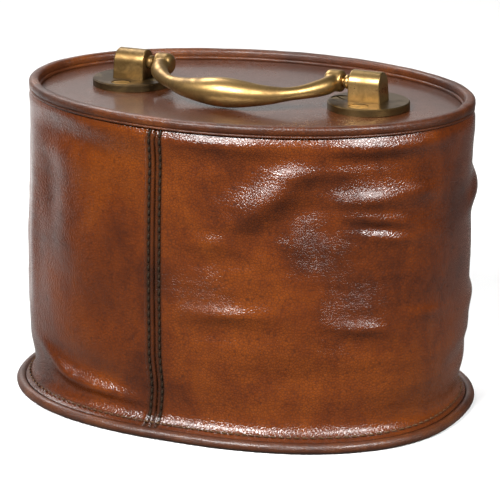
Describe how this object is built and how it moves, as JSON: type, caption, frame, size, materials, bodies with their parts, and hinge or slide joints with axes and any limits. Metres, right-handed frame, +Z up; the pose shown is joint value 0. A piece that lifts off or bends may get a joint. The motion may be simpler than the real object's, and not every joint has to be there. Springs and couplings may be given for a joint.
{
  "type": "weighted leather doorstop",
  "caption": "Oval leather-covered doorstop weight with a corded rim, a stitched foot welt and a drop handle of cast brass on its recessed top.",
  "frame": {"origin": "middle of the underside, on the surface that the doorstop stands on", "axes": "+X along the long axis, +Z up, -Y towards the side with the upright seam"},
  "size_m": [0.2056, 0.151, 0.1489],
  "materials": {
    "wall_leather": "gloss",
    "panel_leather": "gloss",
    "rim_leather": "gloss",
    "foot_leather": "satin",
    "antique_brass": "satin",
    "dark_brass": "satin",
    "thread": "matte",
    "cotton_cord": "matte",
    "canvas": "matte",
    "felt": "matte",
    "plywood": "matte",
    "sand": "matte"
  },
  "bodies": {
    "root": {"base_cover": "foot_leather", "base_welt": "rim_leather", "base_cord": "cotton_cord", "base_board": "plywood", "side_cover": "wall_leather", "seam_backing": "canvas", "side_wadding": "felt", "sand_bag": "canvas", "sand_fill": "sand", "top_packing": "felt", "top_board": "plywood", "top_felt": "felt", "top_cover": "panel_leather", "rim_binding": "rim_leather", "rim_cord": "cotton_cord", "rose_left": "antique_brass", "rose_right": "antique_brass", "post_left": "antique_brass", "post_right": "antique_brass", "pivot_pin_left": "antique_brass", "pivot_pin_right": "antique_brass", "rose_screws_left": "dark_brass", "rose_screws_right": "dark_brass"},
    "handle": {"handle": "antique_brass"}
  },
  "joints": [
    {"name": "handle_pivot", "type": "hinge", "parent": "root", "child": "handle", "pos_m": [0, 0, 0.1434], "axis": [-1, 0, 0], "range_deg": [0, 196]}
  ]
}
